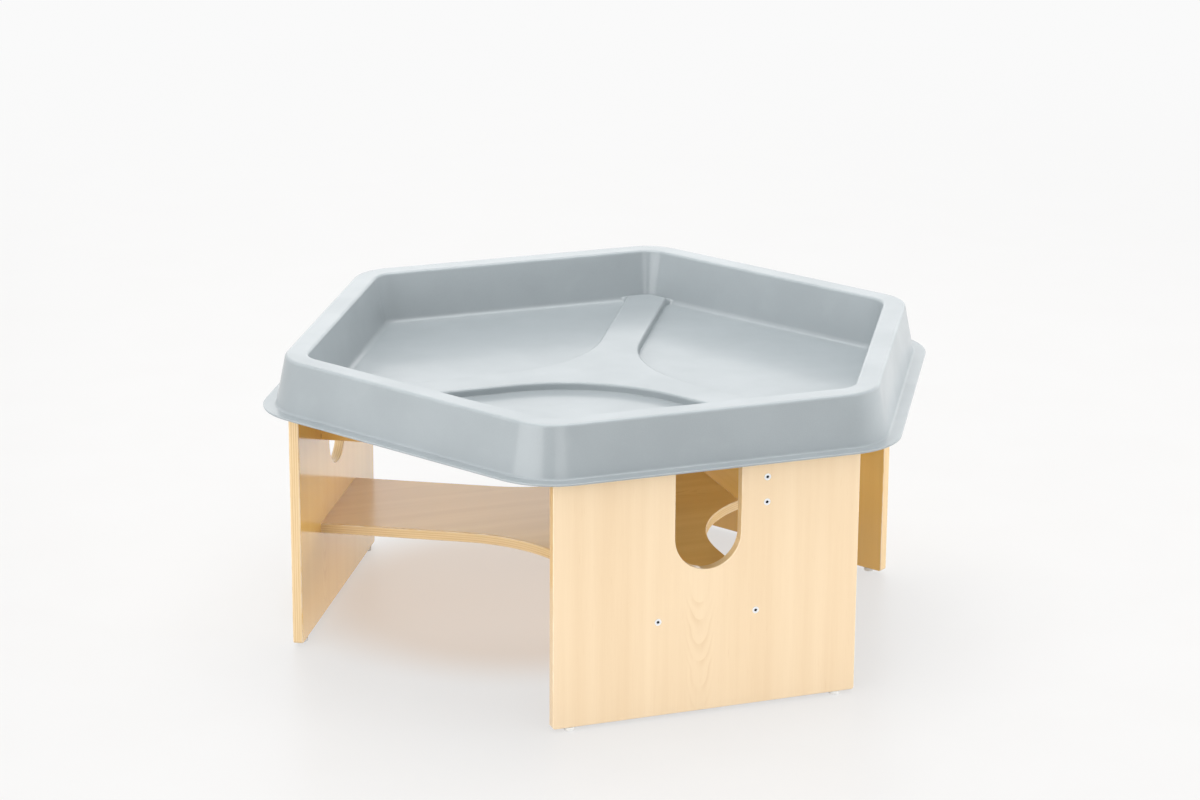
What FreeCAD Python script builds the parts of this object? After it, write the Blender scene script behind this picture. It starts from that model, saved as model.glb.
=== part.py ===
import FreeCAD, Part
import math
import os
import re
import Sketcher

# Six-sided play table for children: a plywood stand and a plastic tray that lifts off it.
# Millimetres and degrees. +Z is up, and the origin is on the floor under the middle of the table.
# The three legs stand on every other side: front faces -Y, right faces 30 degrees and left 150 degrees
# from +X. Each leg and its rail are drawn as the front ones and then turned about Z.

SIZES = {
    # Leg panels
    "panel_thickness": 15.0,
    "panel_clearance": 2.4,
    "panel_end_margin": 16.0,
    "panel_tongue": 52.0,
    "panel_corner_round": 4.0,
    "panel_edge_round": 1.5,
    "notch_width": 98.0,
    "notch_rise": 209.5,
    # Shelf, measured from the foot of the panels
    "shelf_rise": 132.0,
    "shelf_thickness": 15.0,
    "shelf_arm_width": 219.0,
    "shelf_bay_radius": 215.0,
    "shelf_edge_round": 1.5,
    "shelf_screw_inset": 36.5,
    # Top rails, measured from the foot of the panels
    "rail_rise": 273.0,
    "rail_height": 90.0,
    "rail_thickness": 15.0,
    "rail_offset": 87.0,
    "rail_overhang": 30.0,
    "rail_edge_round": 1.5,
    "rail_screw_rise": 24.5,
    "rail_screw_pitch": 36.5,
    "halving_clearance": 0.2,
    # Countersunk screws
    "screw_head_diameter": 10.0,
    "screw_shoulder_diameter": 7.0,
    "screw_shoulder_length": 12.0,
    "screw_core_diameter": 5.0,
    "screw_length": 50.0,
    "screw_tip_diameter": 3.0,
    "screw_tip_length": 3.0,
    "socket_width": 4.0,
    "socket_depth": 3.0,
    "screw_clearance": 0.1,
    # Nail-on glides
    "glide_height": 5.0,
    "glide_diameter": 16.0,
    "glide_edge_round": 1.2,
    "glide_inset": 27.0,
    "glide_recess_depth": 2.0,
    "nail_diameter": 2.4,
    "nail_head_diameter": 6.0,
    "nail_head_thickness": 1.0,
    "nail_grip": 16.0,
    "nail_tip_length": 3.0,
    "nail_clearance": 0.1,
    # Tray
    "sheet_thickness": 3.0,
    "rim_outer_reach": 426.5,
    "rim_width": 32.5,
    "rim_height": 79.4,
    "rim_round": 7.0,
    "wall_draft": 11.5,
    "foot_corner_radius": 24.0,
    "foot_round": 9.0,
    "foot_under_round": 4.0,
    "flange_width": 18.5,
    "flange_rise": 3.0,
    "flange_round": 4.0,
    "flange_lip_round": 1.2,
    "star_step": 11.5,
    "star_arm_width": 62.0,
    "star_bay_radius": 235.0,
    "star_round": 4.0,
    "star_recess_stop": 34.0,
    # How far a cut runs past the solid that it opens
    "overrun": 5.0,
}

# Lengths that follow from the sizes, as formulas of the sheet's names
SEAT = "(glide_height + rail_rise + rail_height)"
WALL_ACROSS = "(sheet_thickness / cos(wall_draft))"
PANEL_REACH = f"(rim_outer_reach - {WALL_ACROSS} - panel_clearance)"
PANEL_INNER = f"({PANEL_REACH} - panel_thickness)"
PANEL_MIDDLE = f"({PANEL_REACH} - panel_thickness / 2)"
PANEL_HALF_WIDTH = f"({PANEL_REACH} * tan(30 deg) - panel_end_margin)"
PANEL_TOP = f"({SEAT} + panel_tongue)"
NOTCH_CENTRE = "(glide_height + notch_rise + notch_width / 2)"
SHELF_BOTTOM = "(glide_height + shelf_rise)"
SHELF_MIDDLE = f"({SHELF_BOTTOM} + shelf_thickness / 2)"
SHELF_SCREW_OFFSET = "(shelf_arm_width / 2 - shelf_screw_inset)"
RAIL_BOTTOM = "(glide_height + rail_rise)"
RAIL_CROSSING = "(rail_offset * tan(60 deg))"
GLIDE_OFFSET = f"({PANEL_HALF_WIDTH} - glide_inset)"
SCREW_CONE = "((screw_head_diameter - screw_shoulder_diameter) / 2)"
SHOULDER_BORE = "(screw_shoulder_diameter + 2 * screw_clearance)"
CORE_BORE = "(screw_core_diameter + 2 * screw_clearance)"
CORE_BORE_DEPTH = "(screw_length - panel_thickness + overrun)"
NAIL_BORE = "(nail_diameter + 2 * nail_clearance)"
FOOT_REACH = "(rim_outer_reach - rim_width - (rim_height - sheet_thickness) * tan(wall_draft))"
CORNER_REACH = f"({FOOT_REACH} - foot_corner_radius)"
FLOOR_CORNER = "(foot_corner_radius / 2)"
STAR_TOP = "(sheet_thickness + star_step)"

SIDES = ["front", "right", "left"]
# A third of a turn lies between one side and the next
SIDE_DEGREES = {side: 360 * number / len(SIDES) for number, side in enumerate(SIDES)}
# Of half a width, towards one end or the other
HALF_SHARES = {"left": -1, "right": 1}
# Two places nearer than this are the same place
MATCH = 0.001

doc = FreeCAD.newDocument("play_table")
sheet = doc.addObject("Spreadsheet::Sheet", "Sizes")
for row, (alias, number) in enumerate(SIZES.items(), start=1):
    sheet.set(f"A{row}", alias)
    sheet.set(f"B{row}", str(number))
    sheet.setAlias(f"B{row}", alias)
doc.recompute()


def measure(formula):
    """The number that a formula of the sheet's names gives."""
    result = sheet.evalExpression(formula)
    return getattr(result, "Value", result)


def bound(formula):
    """The same formula as other objects of the document write it."""
    return re.sub("[a-z_]+", lambda word: f"Sizes.{word[0]}" if word[0] in SIZES else word[0], formula)


def bind(target, name, formula):
    target.setExpression(name, bound(formula))


def turned(degrees):
    """A placement turned about the table's own axis."""
    return FreeCAD.Placement(FreeCAD.Vector(), FreeCAD.Rotation(FreeCAD.Vector(0, 0, 1), degrees))


def new_body(label, degrees=0):
    body = doc.addObject("PartDesign::Body", label)
    body.Label = label
    body.Placement = turned(degrees)
    return body


def origin_feature(body, role):
    return next(feature for feature in body.Origin.OriginFeatures if feature.Role == role)


def sketch_on(body, name, plane, lift="0", across="0"):
    """A sketch on one of the body's own planes, lifted off it and shifted across it."""
    sketch = body.newObject("Sketcher::SketchObject", f"{body.Name}_{name}")
    sketch.AttachmentSupport = [(origin_feature(body, plane), "")]
    sketch.MapMode = "FlatFace"
    bind(sketch, "AttachmentOffset.Base.z", lift)
    bind(sketch, "AttachmentOffset.Base.x", across)
    return sketch


def dimension(sketch, kind, parts, formula):
    """A constraint of the sketch whose value is a formula."""
    number = sketch.addConstraint(Sketcher.Constraint(kind, *parts, measure(formula)))
    bind(sketch, f"Constraints[{number}]", formula)


def place_point(sketch, part, end, across, up):
    dimension(sketch, "DistanceX", (-1, 1, part, end), across)
    dimension(sketch, "DistanceY", (-1, 1, part, end), up)


def outline(sketch, corners):
    """A closed outline, anticlockwise, through corners given as (across, up, round) formulas.

    A corner with a round is cut by an arc that is tangent to both of its sides.
    """
    points = [FreeCAD.Vector(measure(across), measure(up), 0) for across, up, round_ in corners]
    count = len(points)
    starts = list(points)
    ends = list(points)
    arcs = {}
    for k, (across, up, round_) in enumerate(corners):
        if round_ is None:
            continue
        back = (points[k - 1] - points[k]).normalize()
        ahead = (points[(k + 1) % count] - points[k]).normalize()
        half = back.getAngle(ahead) / 2
        radius = measure(round_)
        ends[k] = points[k] + back * (radius / math.tan(half))
        starts[k] = points[k] + ahead * (radius / math.tan(half))
        centre = points[k] + (back + ahead).normalize() * (radius / math.sin(half))
        left_turn = back.cross(ahead).z < 0
        first, last = (ends[k], starts[k]) if left_turn else (starts[k], ends[k])
        angles = [math.atan2(p.y - centre.y, p.x - centre.x) for p in (first, last)]
        circle = Part.Circle(centre, FreeCAD.Vector(0, 0, 1), radius)
        arcs[k] = (Part.ArcOfCircle(circle, *angles), left_turn)
    lines = [sketch.addGeometry(Part.LineSegment(starts[k], ends[(k + 1) % count])) for k in range(count)]
    for k, (across, up, round_) in enumerate(corners):
        if k not in arcs:
            sketch.addConstraint(Sketcher.Constraint("Coincident", lines[k - 1], 2, lines[k], 1))
            place_point(sketch, lines[k], 1, across, up)
            continue
        shape, left_turn = arcs[k]
        arc = sketch.addGeometry(shape)
        first, last = (1, 2) if left_turn else (2, 1)
        sketch.addConstraint(Sketcher.Constraint("Tangent", lines[k - 1], 2, arc, first))
        sketch.addConstraint(Sketcher.Constraint("Tangent", lines[k], 1, arc, last))
        dimension(sketch, "Radius", (arc,), round_)
        corner = sketch.addGeometry(Part.Point(points[k]), True)
        sketch.addConstraint(Sketcher.Constraint("PointOnObject", corner, 1, lines[k - 1]))
        sketch.addConstraint(Sketcher.Constraint("PointOnObject", corner, 1, lines[k]))
        place_point(sketch, corner, 1, across, up)


def box_outline(sketch, low, high, round_=None):
    """A rectangle between two corners, each (across, up)."""
    outline(sketch, [(low[0], low[1], round_), (high[0], low[1], round_),
                     (high[0], high[1], round_), (low[0], high[1], round_)])


def circles(sketch, diameter, centres):
    for across, up in centres:
        centre = FreeCAD.Vector(measure(across), measure(up), 0)
        ring = sketch.addGeometry(Part.Circle(centre, FreeCAD.Vector(0, 0, 1), measure(diameter) / 2))
        dimension(sketch, "Diameter", (ring,), diameter)
        place_point(sketch, ring, 3, across, up)


def pad(sketch, length, both_ways=False):
    body = sketch.getParentGeoFeatureGroup()
    feature = body.newObject("PartDesign::Pad", f"{sketch.Name}_pad")
    feature.Profile = sketch
    bind(feature, "Length", length)
    if both_ways:
        feature.SideType = "Symmetric"
    doc.recompute()
    return feature


def must_cut(body, before, feature):
    if not body.Shape.Volume < before:
        raise RuntimeError(f"{feature.Name} cut nothing")
    return feature


def pocket(sketch, depth=None, upwards=False):
    """A cut from the sketch, right through unless it has a depth."""
    body = sketch.getParentGeoFeatureGroup()
    before = body.Shape.Volume
    feature = body.newObject("PartDesign::Pocket", f"{sketch.Name}_pocket")
    feature.Profile = sketch
    feature.Reversed = upwards
    if depth is None:
        feature.Type = "ThroughAll"
    else:
        bind(feature, "Length", depth)
    doc.recompute()
    return must_cut(body, before, feature)


def revolve(sketch, degrees=360):
    """The sketch turned about its own upright axis."""
    body = sketch.getParentGeoFeatureGroup()
    feature = body.newObject("PartDesign::Revolution", f"{sketch.Name}_turn")
    feature.Profile = sketch
    feature.ReferenceAxis = (sketch, ["V_Axis"])
    feature.Angle = degrees
    doc.recompute()
    return feature


def dress(body, kind, name, size, wanted):
    """A fillet or chamfer on the edges that the test picks out."""
    base = body.Tip
    names = [f"Edge{n}" for n, edge in enumerate(base.Shape.Edges, start=1) if wanted(edge)]
    feature = body.newObject(f"PartDesign::{kind}", f"{body.Name}_{name}")
    feature.Base = (base, names)
    bind(feature, "Radius" if kind == "Fillet" else "Size", size)
    doc.recompute()
    return feature


def polar(body, originals, count):
    """The features repeated about the body's upright axis."""
    feature = body.newObject("PartDesign::PolarPattern", f"{originals[0].Name}_ring")
    feature.Originals = originals
    feature.Axis = (origin_feature(body, "Z_Axis"), [""])
    feature.Angle = 360
    feature.Occurrences = count
    body.Tip = feature
    doc.recompute()
    return feature


def points_of(edge):
    """Both ends and the middle of an edge."""
    first, last = edge.ParameterRange
    return [edge.valueAt(first), edge.valueAt((first + last) / 2), edge.valueAt(last)]


def lies_at(edge, axis, places):
    """True for an edge that lies wholly at one of the places along an axis, x, y or z."""
    along = [getattr(point, axis) for point in points_of(edge)]
    return any(all(abs(found - place) < MATCH for found in along) for place in places)


def out_along(degrees, reach, aside):
    """Formulas for the point at a reach along a direction and a distance aside of it, to its left."""
    across = f"({reach}) * cos({degrees} deg) - ({aside}) * sin({degrees} deg)"
    up = f"({reach}) * sin({degrees} deg) + ({aside}) * cos({degrees} deg)"
    return across, up


def screw_places(joint):
    """Places across and up the front panel of the two screws of a joint."""
    if joint == "shelf":
        return [(f"{sign} * {SHELF_SCREW_OFFSET}", SHELF_MIDDLE) for sign in HALF_SHARES.values()]
    lower = f"({RAIL_BOTTOM} + rail_screw_rise)"
    return [("rail_offset", lower), ("rail_offset", f"{lower} + rail_screw_pitch")]


def leg_panel(side, degrees):
    """Upright board with an open U notch, screw holes in its face and nail holes in its foot."""
    body = new_body(f"leg_panel_{side}", degrees)
    board = sketch_on(body, "board", "XZ_Plane", PANEL_INNER)
    low = (f"-{PANEL_HALF_WIDTH}", "glide_height")
    high = (PANEL_HALF_WIDTH, PANEL_TOP)
    box_outline(board, low, high, "panel_corner_round")
    pad(board, "panel_thickness")
    slot = sketch_on(body, "notch_sides", "XZ_Plane", PANEL_REACH)
    box_outline(slot, ("-notch_width / 2", NOTCH_CENTRE), ("notch_width / 2", f"{PANEL_TOP} + overrun"))
    pocket(slot)
    bottom = sketch_on(body, "notch_bottom", "XZ_Plane", PANEL_REACH)
    circles(bottom, "notch_width", [("0", NOTCH_CENTRE)])
    pocket(bottom)
    faces = [-measure(PANEL_REACH), -measure(PANEL_INNER)]
    dress(body, "Fillet", "eased_edges", "panel_edge_round", lambda edge: lies_at(edge, "y", faces))
    holes = sketch_on(body, "screw_holes", "XZ_Plane", PANEL_REACH)
    circles(holes, SHOULDER_BORE, screw_places("shelf") + screw_places("rail"))
    pocket(holes)
    bore = measure(SHOULDER_BORE) / 2

    def mouth_of_a_hole(edge):
        radius = getattr(edge.Curve, "Radius", 0)
        return lies_at(edge, "y", faces[:1]) and abs(radius - bore) < MATCH

    dress(body, "Chamfer", "countersinks", SCREW_CONE, mouth_of_a_hole)
    nails = sketch_on(body, "nail_holes", "XY_Plane", "glide_height")
    feet = [(f"{sign} * {GLIDE_OFFSET}", f"-{PANEL_MIDDLE}") for sign in HALF_SHARES.values()]
    circles(nails, NAIL_BORE, feet)
    pocket(nails, "nail_grip + nail_clearance", upwards=True)
    return body


def screw_bores(body, joint):
    """Blind holes for a joint's screws in the edge that meets the front panel."""
    ends = sketch_on(body, f"{joint}_bores", "XZ_Plane", PANEL_INNER)
    circles(ends, CORE_BORE, screw_places(joint))
    return pocket(ends, CORE_BORE_DEPTH)


def shelf():
    """Level board with three arms, each square to a panel, and a round bay between each two."""
    body = new_body("shelf")
    plan = sketch_on(body, "plan", "XY_Plane", SHELF_BOTTOM)
    corners = []
    for turn in SIDE_DEGREES.values():
        for sign in HALF_SHARES.values():
            corners.append((*out_along(turn - 90, PANEL_INNER, f"{sign} * shelf_arm_width / 2"), None))
        bay = out_along(turn - 30, "shelf_arm_width / 2 / sin(60 deg)", "0")
        corners.append((*bay, "shelf_bay_radius"))
    outline(plan, corners)
    pad(plan, "shelf_thickness")
    levels = [measure(SHELF_BOTTOM), measure(f"{SHELF_BOTTOM} + shelf_thickness")]
    arm_end = measure(PANEL_INNER)

    def along_a_bay(edge):
        middle = points_of(edge)[1]
        on_end = any(turned(-turn).multVec(middle).y < MATCH - arm_end for turn in SIDE_DEGREES.values())
        return lies_at(edge, "z", levels) and not on_end

    dress(body, "Fillet", "eased_edges", "shelf_edge_round", along_a_bay)
    polar(body, [screw_bores(body, "shelf")], len(SIDES))
    return body


def top_rail(side, slots_above, slots_below):
    """Board on edge, square to its panel, halved where it crosses the other two rails.

    A slot is named for the rail that lies in it, and is cut from above or from below.
    """
    body = new_body(f"top_rail_{side}", SIDE_DEGREES[side])
    plan = sketch_on(body, "plan", "XY_Plane", RAIL_BOTTOM)
    low = ("rail_offset - rail_thickness / 2", f"-{PANEL_INNER}")
    high = ("rail_offset + rail_thickness / 2", f"{RAIL_CROSSING} + rail_overhang")
    box_outline(plan, low, high)
    pad(plan, "rail_height")
    levels = [measure(RAIL_BOTTOM), measure(SEAT)]
    ends = [-measure(PANEL_INNER), measure(high[1])]
    dress(body, "Fillet", "eased_edges", "rail_edge_round",
          lambda edge: lies_at(edge, "z", levels) and not lies_at(edge, "y", ends))
    screw_bores(body, "rail")
    for other in slots_above:
        halving(body, side, other, SEAT, upwards=False)
    for other in slots_below:
        halving(body, side, other, RAIL_BOTTOM, upwards=True)
    return body


def halving(body, side, other, level, upwards):
    """A slot half as deep as the rail, along the other rail."""
    turn = (SIDE_DEGREES[other] - SIDE_DEGREES[side]) % 360
    sign = 1 if turn < 180 else -1
    half = "(rail_thickness / 2 + halving_clearance)"
    plan = sketch_on(body, f"halving_{other}", "XY_Plane", level)
    near = f"{sign} * {RAIL_CROSSING} - 2 * rail_thickness"
    far = f"{sign} * {RAIL_CROSSING} + 2 * rail_thickness"
    corners = [(near, f"rail_offset - {half}"), (far, f"rail_offset - {half}"),
               (far, f"rail_offset + {half}"), (near, f"rail_offset + {half}")]
    outline(plan, [(*out_along(turn - 90, reach, aside), None) for reach, aside in corners])
    return pocket(plan, "rail_height / 2 + halving_clearance", upwards)


def screw():
    """Countersunk screw along +Y with its head's face at the origin and a six-sided socket."""
    body = new_body("screw")
    half = sketch_on(body, "half", "XY_Plane")
    radius = "screw_core_diameter / 2"
    shoulder = "screw_shoulder_diameter / 2"
    outline(half, [
        ("0", "0", None),
        ("screw_head_diameter / 2", "0", None),
        (shoulder, SCREW_CONE, None),
        (shoulder, "screw_shoulder_length", None),
        (radius, f"screw_shoulder_length + {shoulder} - {radius}", None),
        (radius, "screw_length - screw_tip_length", None),
        ("screw_tip_diameter / 2", "screw_length", None),
        ("0", "screw_length", None),
    ])
    revolve(half)
    socket = sketch_on(body, "socket", "XZ_Plane")
    corner = "socket_width / 2 / cos(30 deg)"
    outline(socket, [(*out_along(60 * k, corner, "0"), None) for k in range(6)])
    pocket(socket, "socket_depth")
    return body


def glide(side, half, degrees):
    """Round plastic foot with a recess for its nail's head."""
    body = new_body(f"glide_{side}_{half}", degrees)
    section = sketch_on(body, "section", "XZ_Plane")
    recess = "nail_head_diameter / 2 + nail_clearance"
    bore = f"{NAIL_BORE} / 2"
    outline(section, [
        (recess, "0", None),
        ("glide_diameter / 2", "0", "glide_edge_round"),
        ("glide_diameter / 2", "glide_height", None),
        (bore, "glide_height", None),
        (bore, "glide_recess_depth", None),
        (recess, "glide_recess_depth", None),
    ])
    revolve(section)
    place = out_along(degrees - 90, PANEL_MIDDLE, f"{HALF_SHARES[half]} * {GLIDE_OFFSET}")
    for axis, formula in zip("xy", place):
        bind(body, f"Placement.Base.{axis}", formula)
    return body


def nail():
    """Nail along +Z whose head fills the recess of a glide that stands on the origin."""
    body = new_body("nail")
    half = sketch_on(body, "half", "XZ_Plane")
    shank = "nail_diameter / 2"
    tip = "glide_height + nail_grip"
    outline(half, [
        ("0", "glide_recess_depth - nail_head_thickness", None),
        ("nail_head_diameter / 2", "glide_recess_depth - nail_head_thickness", None),
        ("nail_head_diameter / 2", "glide_recess_depth", None),
        (shank, "glide_recess_depth", None),
        (shank, f"{tip} - nail_tip_length", None),
        ("0", tip, None),
    ])
    revolve(half)
    return body


def group(label, master, places, degrees):
    """Copies of one fastener at places of the front leg, turned to their own leg."""
    copies = []
    for number, place in enumerate(places, start=1):
        copy = doc.addObject("App::Link", f"{label}_{number}")
        copy.LinkedObject = master
        for axis, formula in zip("xyz", place):
            bind(copy, f"Placement.Base.{axis}", formula)
        copies.append(copy)
    compound = doc.addObject("Part::Compound", label)
    compound.Label = label
    compound.Links = copies
    compound.Placement = turned(degrees)
    doc.recompute()
    return compound


def inner_face(height):
    """Distance of the rim's inner wall from the corner's axis at a height above the seat."""
    return f"(foot_corner_radius + ({height} - sheet_thickness) * tan(wall_draft))"


def outer_face(height):
    """Distance of the rim's outer wall from the corner's axis at a height above the seat."""
    return f"(rim_outer_reach - {CORNER_REACH} + (rim_height - {height}) * tan(wall_draft))"


def rim_section(sketch):
    """Section of the floor's edge, hollow rim and flange, out from the axis of a tray corner."""
    under = "(rim_height - sheet_thickness)"
    flange_top = "(flange_rise + sheet_thickness)"
    flange_edge = f"({outer_face(flange_top)} + flange_width)"
    inside = "(rim_round - sheet_thickness)"
    section = [
        (FLOOR_CORNER, "0", None),
        (f"{inner_face('0')} + {WALL_ACROSS}", "0", "foot_under_round"),
        (f"{inner_face(under)} + {WALL_ACROSS}", under, inside),
        (f"{outer_face(under)} - {WALL_ACROSS}", under, inside),
        (f"{outer_face('flange_rise')} - {WALL_ACROSS}", "flange_rise", "flange_round + sheet_thickness"),
        (flange_edge, "flange_rise", "flange_lip_round"),
        (flange_edge, flange_top, "flange_lip_round"),
        (outer_face(flange_top), flange_top, "flange_round"),
        (outer_face("rim_height"), "rim_height", "rim_round"),
        (inner_face("rim_height"), "rim_height", "rim_round"),
        ("foot_corner_radius", "sheet_thickness", "foot_round"),
        (FLOOR_CORNER, "sheet_thickness", None),
    ]
    outline(sketch, [(across, f"{SEAT} + {up}", round_) for across, up, round_ in section])


def star_outline(sketch, half, tips):
    """Three arms towards every other corner, joined by arcs, with ends given by tips."""
    corners = []
    for turn in SIDE_DEGREES.values():
        for reach, aside, round_ in tips:
            corners.append((*out_along(turn - 60, reach, aside), round_))
        corners.append((*out_along(turn, f"({half}) / sin(60 deg)", "0"), "star_bay_radius"))
    outline(sketch, corners)


def tray():
    """Formed plastic tray with a star raised in its floor and a hollow rim that goes over the panels."""
    body = new_body("tray")
    wall = f"({inner_face(STAR_TOP)})"
    wall_reach = f"({CORNER_REACH} + {wall})"
    half = "star_arm_width / 2"
    star = sketch_on(body, "star", "XY_Plane", f"{SEAT} + sheet_thickness / 2")
    shoulder = f"({wall_reach} - ({half}) * sin(30 deg)) / cos(30 deg)"
    star_outline(star, half, [
        (shoulder, f"-({half})", None),
        (f"{wall_reach} / cos(30 deg)", "0", wall),
        (shoulder, half, None),
    ])
    pad(star, "star_step + sheet_thickness / 2")
    top = [measure(f"{SEAT} + {STAR_TOP}")]
    straight_end = measure(shoulder) - MATCH

    def along_an_arm(edge):
        middle = points_of(edge)[1]
        return lies_at(edge, "z", top) and math.hypot(middle.x, middle.y) < straight_end

    dress(body, "Fillet", "star_edges", "star_round", along_an_arm)
    floor = sketch_on(body, "floor", "XY_Plane", SEAT)
    floor_reach = f"({CORNER_REACH} + {FLOOR_CORNER}) / cos(30 deg)"
    outline(floor, [(*out_along(60 * k, floor_reach, "0"), FLOOR_CORNER) for k in range(6)])
    pad(floor, "sheet_thickness")
    run = sketch_on(body, "rim_run", "YZ_Plane", across=CORNER_REACH)
    rim_section(run)
    straight = pad(run, f"2 * {CORNER_REACH} * tan(30 deg)", both_ways=True)
    bend = sketch_on(body, "rim_bend", "YZ_Plane", f"-{CORNER_REACH} * tan(30 deg)", CORNER_REACH)
    rim_section(bend)
    corner = revolve(bend, 60)
    polar(body, [straight, corner], 6)
    recess = sketch_on(body, "recess", "XY_Plane", SEAT)
    inset = f"{half} - sheet_thickness"
    stop = f"{wall_reach} / cos(30 deg) - star_recess_stop"
    star_outline(recess, inset, [(stop, f"-({inset})", None), (stop, inset, None)])
    pocket(recess, "star_step", upwards=True)
    return body


screw_master = screw()
nail_master = nail()
parts = [tray(), shelf()]
rail_slots = {
    "front": (["right", "left"], []),
    "right": (["left"], ["front"]),
    "left": ([], ["front", "right"]),
}
for side, turn in SIDE_DEGREES.items():
    parts.append(leg_panel(side, turn))
    parts.append(top_rail(side, *rail_slots[side]))
    for joint in ("rail", "shelf"):
        places = [(across, f"-{PANEL_REACH}", up) for across, up in screw_places(joint)]
        parts.append(group(f"{joint}_screws_{side}", screw_master, places, turn))
    for half in HALF_SHARES:
        parts.append(glide(side, half, turn))
    nail_places = [(f"{sign} * {GLIDE_OFFSET}", f"-{PANEL_MIDDLE}", "0") for sign in HALF_SHARES.values()]
    parts.append(group(f"glide_nails_{side}", nail_master, nail_places, turn))
doc.recompute()

for item in doc.Objects:
    if "Invalid" in item.State or "Error" in item.State:
        raise RuntimeError(f"{item.Name} did not build: {item.State}")
for part in parts:
    if part.Shape.isNull() or not part.Shape.isValid():
        raise RuntimeError(f"{part.Label} is not a sound solid")

os.makedirs("parts", exist_ok=True)
for part in parts:
    part.Shape.exportStep(os.path.join("parts", f"{part.Label}.step"))
    print(part.Label, len(part.Shape.Solids), "solids", round(part.Shape.Volume / 1000, 1), "cm3")
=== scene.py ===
# %% [markdown]
# # A six-sided play table, dressed for the studio
# The table is a plywood stand with a formed plastic tray that lifts off it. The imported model
# brings its exact parts. They could be modelled again by eye, but then nothing would fit, so this
# lesson keeps the parts as they are, gives each its real finish, and makes only the tray anew.

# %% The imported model
import math

import bpy
import numpy as np
from mathutils import Matrix, Vector


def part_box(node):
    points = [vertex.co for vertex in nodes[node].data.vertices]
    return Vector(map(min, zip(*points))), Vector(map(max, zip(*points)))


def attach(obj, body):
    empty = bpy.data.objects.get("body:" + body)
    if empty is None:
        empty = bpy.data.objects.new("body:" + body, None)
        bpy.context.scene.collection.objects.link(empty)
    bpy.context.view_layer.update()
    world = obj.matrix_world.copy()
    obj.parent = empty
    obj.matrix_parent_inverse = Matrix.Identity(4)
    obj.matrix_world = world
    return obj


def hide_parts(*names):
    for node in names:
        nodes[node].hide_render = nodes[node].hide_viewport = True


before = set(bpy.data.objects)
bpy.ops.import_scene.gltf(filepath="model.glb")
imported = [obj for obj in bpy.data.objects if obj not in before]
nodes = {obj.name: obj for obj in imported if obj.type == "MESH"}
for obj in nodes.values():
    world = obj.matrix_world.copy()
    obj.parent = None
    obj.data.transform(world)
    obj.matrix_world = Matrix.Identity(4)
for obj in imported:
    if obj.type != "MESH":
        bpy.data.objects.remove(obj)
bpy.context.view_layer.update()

MM = 0.001

# %% [markdown]
# ## Camera
# The photograph looks down at the table from the front, a little from the left, with a long lens.
# A camera could be turned by eye until the picture looks right. Here its place and its three
# angles were worked out from the straight edges of the tray and the leg panels, so every edge
# falls in place. The turns follow one another from the lens outwards: first the roll, then the
# tilt, then the heading.

# %% Camera
VIEW_PLACE = Vector((-1.6823, -4.5322, 1.8424))
HEADING, FALL, ROLL = (math.radians(angle) for angle in (-20.310, 17.319, 0.3626))
LENS_MM, FILM_MM = 102.43, 36.0

lens = bpy.data.cameras.new("photo_lens")
lens.lens = LENS_MM
lens.sensor_width = FILM_MM
lens.clip_end = 200
camera = bpy.data.objects.new("photo_camera", lens)
tilt = Matrix.Rotation(HEADING, 4, "Z") @ Matrix.Rotation(math.pi / 2 - FALL, 4, "X")
camera.matrix_world = Matrix.Translation(VIEW_PLACE) @ tilt @ Matrix.Rotation(ROLL, 4, "Z")
bpy.context.scene.collection.objects.link(camera)
bpy.context.scene.camera = camera
bpy.context.scene.view_settings.view_transform = "Standard"
print("camera at", [round(c, 3) for c in camera.location])


# %% [markdown]
# ## Surfaces from arrays
# Every new surface here is a grid of points: one number runs along it and one across it. A
# modelling tool could push the points about one by one. Working out all of them at once with
# numpy is quicker, and it keeps the shape tied to a few real sizes. One helper turns such rings
# of points into a mesh.

# %% A helper that turns rings of points into a mesh
def skin(name, rings, poles):
    """A closed skin over rings of points, each ring the same length, from one pole to the other.

    Point c of ring r joins point c + 1 of its ring and point c of ring r + 1 to make four-sided
    faces, and the first and last rings are closed by three-sided faces that meet in the poles.
    """
    count, around = rings.shape[:2]
    points = np.concatenate([rings.reshape(-1, 3), np.asarray(poles, float)])
    here = np.arange(count * around).reshape(count, around)
    beside = np.roll(here, -1, axis=1)
    quads = np.stack([here[:-1], here[1:], beside[1:], beside[:-1]], axis=-1).reshape(-1, 4)
    first = np.full(around, count * around)
    caps = np.concatenate([np.stack([first, here[0], beside[0]], axis=-1),
                           np.stack([first + 1, beside[-1], here[-1]], axis=-1)])
    mesh = bpy.data.meshes.new(name)
    mesh.from_pydata(points.tolist(), [], quads.tolist() + caps.tolist())
    mesh.shade_smooth()
    piece = bpy.data.objects.new(name, mesh)
    bpy.context.scene.collection.objects.link(piece)
    print(name, len(mesh.vertices), "points,", len(quads) * 2 + len(caps), "triangles")
    return piece


print("helper for skins ready")


# %% [markdown]
# ## Floor
# The photograph was taken in a white room. A paper backdrop could be curved up behind the table,
# but the camera looks down so far that one wide floor fills the picture, and it also serves from
# other sides. Its rings lie close together near the table and far apart in the distance.

# %% Floor
FLOOR_REACH = 40.0
FLOOR_DEEP = 0.02


def flat_disc(reach, rings=24, around=96):
    """Rings about the origin at height 0, with radii that grow with the square of their number."""
    radius = reach * np.linspace(1 / rings, 1, rings)[:, None] ** 2
    turn = np.linspace(0, 2 * np.pi, around, endpoint=False)[None]
    return np.stack([radius * np.cos(turn), radius * np.sin(turn), 0 * radius * turn], axis=-1)


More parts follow.
